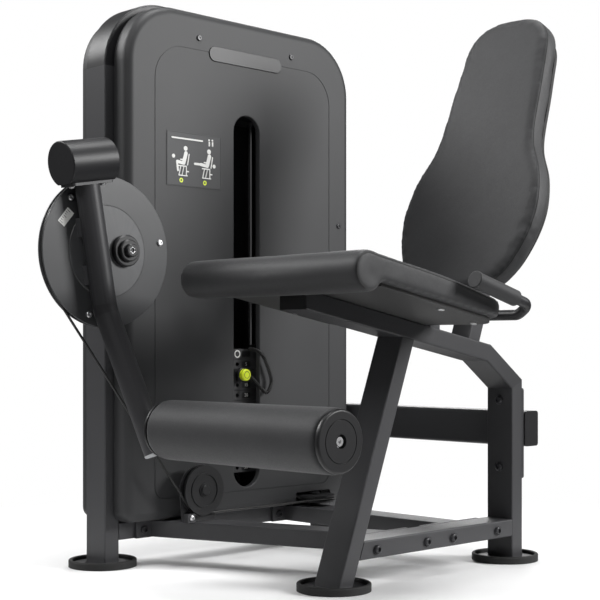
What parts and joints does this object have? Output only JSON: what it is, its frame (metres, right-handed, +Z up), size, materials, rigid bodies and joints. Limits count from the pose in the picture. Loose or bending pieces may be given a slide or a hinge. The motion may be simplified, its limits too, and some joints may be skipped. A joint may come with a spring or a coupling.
{
  "type": "leg extension machine",
  "caption": "Seated leg extension machine with a shrouded weight tower, cam and swing arm with a padded shin roller, seat, back rest and hand grips.",
  "frame": {"origin": "on the floor under the centre of the whole machine", "axes": "+Z up, the user faces -Y, the weight tower stands on the -X side and the seat on the +X side"},
  "size_m": [1.0619, 1.1619, 1.41],
  "materials": {
    "frame_paint": "fine-textured matte black powder coat",
    "shroud_plastic": "matte charcoal moulded plastic",
    "trim_plastic": "satin black plastic",
    "placard_plate": "grey printed plate",
    "pad_leather": "dark grey fine-grained upholstery",
    "roller_rubber": "dark grey roller cover",
    "foot_rubber": "black rubber",
    "cable_sheath": "black coated steel cable",
    "steel_pale": "bright zinc screws",
    "bolt_dark": "black domed bolts",
    "rod_chrome": "polished guide rod",
    "plate_iron": "black painted weight plate",
    "disc_metal": "satin dark grey disc",
    "board_dark": "black painted board",
    "label_white": "printed label",
    "accent": "yellow-green knob",
    "plug_pale": "pale plastic plug"
  },
  "bodies": {
    "frame": {"back_pad": "pad_leather", "back_post": "frame_paint", "cross_rails": "frame_paint", "cushion_boards": "board_dark", "drive_cable": "cable_sheath", "foot_cups": "foot_rubber", "frame_bolts": "bolt_dark", "frame_plates": "frame_paint", "front_shroud": "shroud_plastic", "guide_rods": "rod_chrome", "handle_grips": "roller_rubber", "handlebar": "frame_paint", "pale_screws": "steel_pale", "pivot_housing": "frame_paint", "placard": "placard_plate", "plate_labels_fixed": "trim_plastic", "pulley_axles": "trim_plastic", "pulley_brackets": "frame_paint", "rear_beam": "frame_paint", "rear_shroud": "shroud_plastic", "rod_tie_plate": "frame_paint", "seat_legs": "frame_paint", "seat_pad": "pad_leather", "seat_rails": "frame_paint", "shroud_badge": "trim_plastic", "stack_base": "frame_paint", "stack_bumpers": "foot_rubber", "tower_base_rail": "frame_paint", "tower_legs": "frame_paint", "tower_top_bow": "frame_paint", "tube_end_caps": "trim_plastic", "weight_plates_fixed": "plate_iron"},
    "arm": {"cam_back_plate": "disc_metal", "cam_front_plate": "disc_metal", "cam_hub": "trim_plastic", "cam_cable": "cable_sheath", "counterweight": "frame_paint", "lever_bolts": "steel_pale", "lever_end_plug": "plug_pale", "lever_plates": "frame_paint", "lever_tube": "frame_paint", "pivot_shaft": "rod_chrome", "roller_axle": "rod_chrome", "scale_label": "label_white"},
    "roller": {"roller_core": "trim_plastic", "roller_foam": "roller_rubber"},
    "cable_run": {"cable_span": "cable_sheath"},
    "low_pulley": {"pulley_low": "trim_plastic"},
    "turn_pulley": {"pulley_turn": "trim_plastic"},
    "rise_pulley": {"pulley_rise": "trim_plastic"},
    "top_rear_pulley": {"pulley_top_rear": "trim_plastic"},
    "top_stack_pulley": {"pulley_top_stack": "trim_plastic"},
    "carriage": {"weight_plates_lifted": "plate_iron", "guide_bushings": "trim_plastic", "selector_stem": "rod_chrome", "plate_labels_lifted": "trim_plastic", "pin_lanyard": "cable_sheath", "stack_cable": "cable_sheath"},
    "pin": {"selector_pin": "trim_plastic", "pin_knob": "accent"}
  },
  "joints": [
    {"name": "arm_swing", "type": "hinge", "parent": "frame", "child": "arm", "pos_m": [-0.273, -0.3538, 0.77], "axis": [-1, 0, 0], "range_deg": [0, 95]},
    {"name": "roller_spin", "type": "hinge", "parent": "arm", "child": "roller", "pos_m": [0.207, -0.3808, 0.3576], "axis": [1, 0, 0], "continuous": true},
    {"name": "cable_swing", "type": "hinge", "parent": "frame", "child": "cable_run", "pos_m": [-0.273, -0.1068, 0.186], "axis": [-1, 0, 0], "range_deg": [0, 7]},
    {"name": "low_pulley_spin", "type": "hinge", "parent": "frame", "child": "low_pulley", "pos_m": [-0.273, -0.1068, 0.186], "axis": [-1, 0, 0], "range_deg": [0, 330]},
    {"name": "turn_pulley_spin", "type": "hinge", "parent": "frame", "child": "turn_pulley", "pos_m": [-0.323, 0.3402, 0.128], "axis": [0, 0, -1], "range_deg": [0, 380]},
    {"name": "rise_pulley_spin", "type": "hinge", "parent": "frame", "child": "rise_pulley", "pos_m": [-0.391, 0.3902, 0.168], "axis": [0, -1, 0], "range_deg": [0, 470]},
    {"name": "top_rear_spin", "type": "hinge", "parent": "frame", "child": "top_rear_pulley", "pos_m": [-0.431, 0.3402, 1.24], "axis": [-1, 0, 0], "range_deg": [0, 380]},
    {"name": "top_stack_spin", "type": "hinge", "parent": "frame", "child": "top_stack_pulley", "pos_m": [-0.431, 0.1442, 1.24], "axis": [-1, 0, 0], "range_deg": [0, 380]},
    {"name": "stack_lift", "type": "slide", "parent": "frame", "child": "carriage", "axis": [0, 0, 1], "range_m": [0, 0.33], "deforming": ["stack_cable"]},
    {"name": "pin_pull", "type": "slide", "parent": "carriage", "child": "pin", "axis": [1, 0, 0], "range_m": [0, 0.08]}
  ],
  "couplings": [
    {"joint": "cable_swing", "follows": "arm_swing", "ratio": 0.06},
    {"joint": "low_pulley_spin", "follows": "arm_swing", "ratio": 3.3621},
    {"joint": "turn_pulley_spin", "follows": "arm_swing", "ratio": 3.9},
    {"joint": "rise_pulley_spin", "follows": "arm_swing", "ratio": 4.875},
    {"joint": "top_rear_spin", "follows": "arm_swing", "ratio": 3.9},
    {"joint": "top_stack_spin", "follows": "arm_swing", "ratio": 3.9},
    {"joint": "stack_lift", "follows": "arm_swing", "m_per_rad": 0.195}
  ]
}
